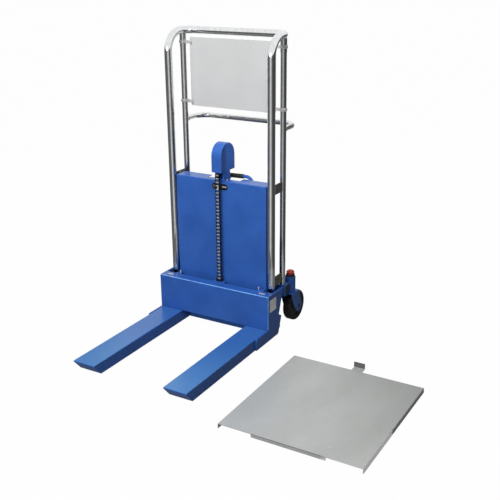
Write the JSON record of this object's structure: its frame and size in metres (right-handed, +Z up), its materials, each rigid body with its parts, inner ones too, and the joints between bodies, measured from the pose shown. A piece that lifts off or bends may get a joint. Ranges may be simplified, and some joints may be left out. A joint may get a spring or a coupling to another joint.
{
  "type": "portable hydraulic lift",
  "caption": "Push-along hydraulic lift: tube mast, foot-pumped ram lifting a forked carriage by a chain, swivel casters and a loose platform.",
  "frame": {"origin": "centre of the whole part's footprint, on the floor, with the lift on the left and its loose platform on the right", "axes": "+Z up, +X to the right as seen from the fork tips, +Y from the fork tips towards the push handle"},
  "size_m": [1.3654, 1.096, 1.3765],
  "materials": {
    "blue_paint": "glossy blue enamel",
    "chrome_tube": "bright chrome plate",
    "zinc_plate": "dull zinc plate",
    "polished_rod": "polished hard chrome",
    "black_steel": "oiled black steel",
    "black_rubber": "matt black rubber",
    "black_tyre": "satin black polyurethane",
    "red_plastic": "glossy red plastic",
    "dark_nylon": "dark grey nylon",
    "grey_screen": "pale grey translucent sheet",
    "platform_steel": "rolled bare steel sheet"
  },
  "bodies": {
    "chassis": {"left_leg": "blue_paint", "right_leg": "blue_paint", "cross_member": "blue_paint", "rear_beam": "blue_paint", "front_mast_tube": "chrome_tube", "left_rear_mast_tube": "chrome_tube", "right_rear_mast_tube": "chrome_tube", "push_handle": "chrome_tube", "left_lower_tie_plate": "zinc_plate", "right_lower_tie_plate": "zinc_plate", "left_upper_tie_plate": "zinc_plate", "right_upper_tie_plate": "zinc_plate", "mast_panel": "blue_paint", "guard_screen": "grey_screen", "left_upper_screen_clamp": "zinc_plate", "right_upper_screen_clamp": "zinc_plate", "left_lower_screen_clamp": "zinc_plate", "right_lower_screen_clamp": "zinc_plate", "ram_cylinder": "black_steel", "ram_gland": "zinc_plate", "pump_body": "blue_paint", "chain_anchor": "zinc_plate", "left_caster_column": "blue_paint", "right_caster_column": "blue_paint", "left_brake_cup": "black_rubber", "right_brake_cup": "black_rubber", "release_cable": "black_rubber", "rear_chain": "black_steel", "plunger_spring": "black_steel"},
    "ram": {"ram_rod": "polished_rod", "wheel_yoke": "blue_paint", "wheel_cover": "blue_paint", "wheel_axle": "zinc_plate", "chain_over_wheel": "black_steel", "front_chain": "black_steel"},
    "chain_wheel": {"chain_wheel": "black_steel"},
    "carriage": {"left_fork": "blue_paint", "right_fork": "blue_paint", "carriage_front_plate": "blue_paint", "carriage_top_plate": "blue_paint", "left_side_plate": "blue_paint", "right_side_plate": "blue_paint", "left_upper_guide_shoe": "dark_nylon", "right_upper_guide_shoe": "dark_nylon", "left_lower_guide_shoe": "dark_nylon", "right_lower_guide_shoe": "dark_nylon", "chain_clevis": "zinc_plate"},
    "left_caster": {"left_caster_fork": "blue_paint"},
    "right_caster": {"right_caster_fork": "blue_paint"},
    "left_wheel": {"left_caster_wheel": "black_tyre"},
    "right_wheel": {"right_caster_wheel": "black_tyre"},
    "left_brake": {"left_brake_knob": "red_plastic"},
    "right_brake": {"right_brake_knob": "red_plastic"},
    "left_roller": {"left_load_roller": "black_steel"},
    "right_roller": {"right_load_roller": "black_steel"},
    "pedal": {"foot_pedal": "blue_paint"},
    "plunger": {"pump_plunger": "polished_rod"},
    "lever": {"lowering_lever": "blue_paint", "lever_grip": "black_rubber"},
    "platform": {"platform": "platform_steel"}
  },
  "joints": [
    {"name": "ram_lift", "type": "slide", "parent": "chassis", "child": "ram", "axis": [0, 0, 1], "range_m": [0, 0.5], "deforming": ["rear_chain"]},
    {"name": "carriage_lift", "type": "slide", "parent": "ram", "child": "carriage", "axis": [0, 0, 1], "range_m": [0, 0.5], "deforming": ["front_chain"]},
    {"name": "chain_wheel_turn", "type": "hinge", "parent": "ram", "child": "chain_wheel", "pos_m": [-0.38125, 0.276, 0.826], "axis": [1, 0, 0], "range_deg": [-655, 0]},
    {"name": "left_caster_swivel", "type": "hinge", "parent": "chassis", "child": "left_caster", "pos_m": [-0.65125, 0.436, 0.2], "axis": [0, 0, 1], "continuous": true},
    {"name": "right_caster_swivel", "type": "hinge", "parent": "chassis", "child": "right_caster", "pos_m": [-0.11125, 0.436, 0.2], "axis": [0, 0, 1], "continuous": true},
    {"name": "left_wheel_spin", "type": "hinge", "parent": "left_caster", "child": "left_wheel", "pos_m": [-0.65125, 0.473, 0.075], "axis": [1, 0, 0], "continuous": true},
    {"name": "right_wheel_spin", "type": "hinge", "parent": "right_caster", "child": "right_wheel", "pos_m": [-0.11125, 0.473, 0.075], "axis": [1, 0, 0], "continuous": true},
    {"name": "left_brake_press", "type": "slide", "parent": "chassis", "child": "left_brake", "axis": [0, 0, 1], "range_m": [-0.008, 0], "stiffness_N_per_m": 1500, "springref_m": 0.004},
    {"name": "right_brake_press", "type": "slide", "parent": "chassis", "child": "right_brake", "axis": [0, 0, 1], "range_m": [-0.008, 0], "stiffness_N_per_m": 1500, "springref_m": 0.004},
    {"name": "left_roller_spin", "type": "hinge", "parent": "chassis", "child": "left_roller", "pos_m": [-0.61445, -0.394, 0.024], "axis": [1, 0, 0], "continuous": true},
    {"name": "right_roller_spin", "type": "hinge", "parent": "chassis", "child": "right_roller", "pos_m": [-0.14805, -0.394, 0.024], "axis": [1, 0, 0], "continuous": true},
    {"name": "pedal_press", "type": "hinge", "parent": "chassis", "child": "pedal", "pos_m": [-0.38125, 0.428, 0.175], "axis": [1, 0, 0], "range_deg": [-22, 0], "stiffness_Nm_per_rad": 6, "springref_deg": 8.59},
    {"name": "plunger_stroke", "type": "slide", "parent": "chassis", "child": "plunger", "axis": [0, 0, 1], "range_m": [-0.011, 0], "deforming": ["plunger_spring"]},
    {"name": "lever_pull", "type": "hinge", "parent": "chassis", "child": "lever", "pos_m": [-0.26225, 0.344, 0.232], "axis": [1, 0, 0], "range_deg": [-12, 0], "stiffness_Nm_per_rad": 2, "springref_deg": 5.73},
    {"name": "platform_lift", "type": "slide", "parent": "chassis", "child": "platform", "axis": [0, 0, 1], "range_m": [0, 0.3]}
  ],
  "couplings": [
    {"joint": "carriage_lift", "follows": "ram_lift", "ratio": 1},
    {"joint": "chain_wheel_turn", "follows": "ram_lift", "rad_per_m": -22.727},
    {"joint": "plunger_stroke", "follows": "pedal_press", "m_per_rad": 0.028}
  ]
}
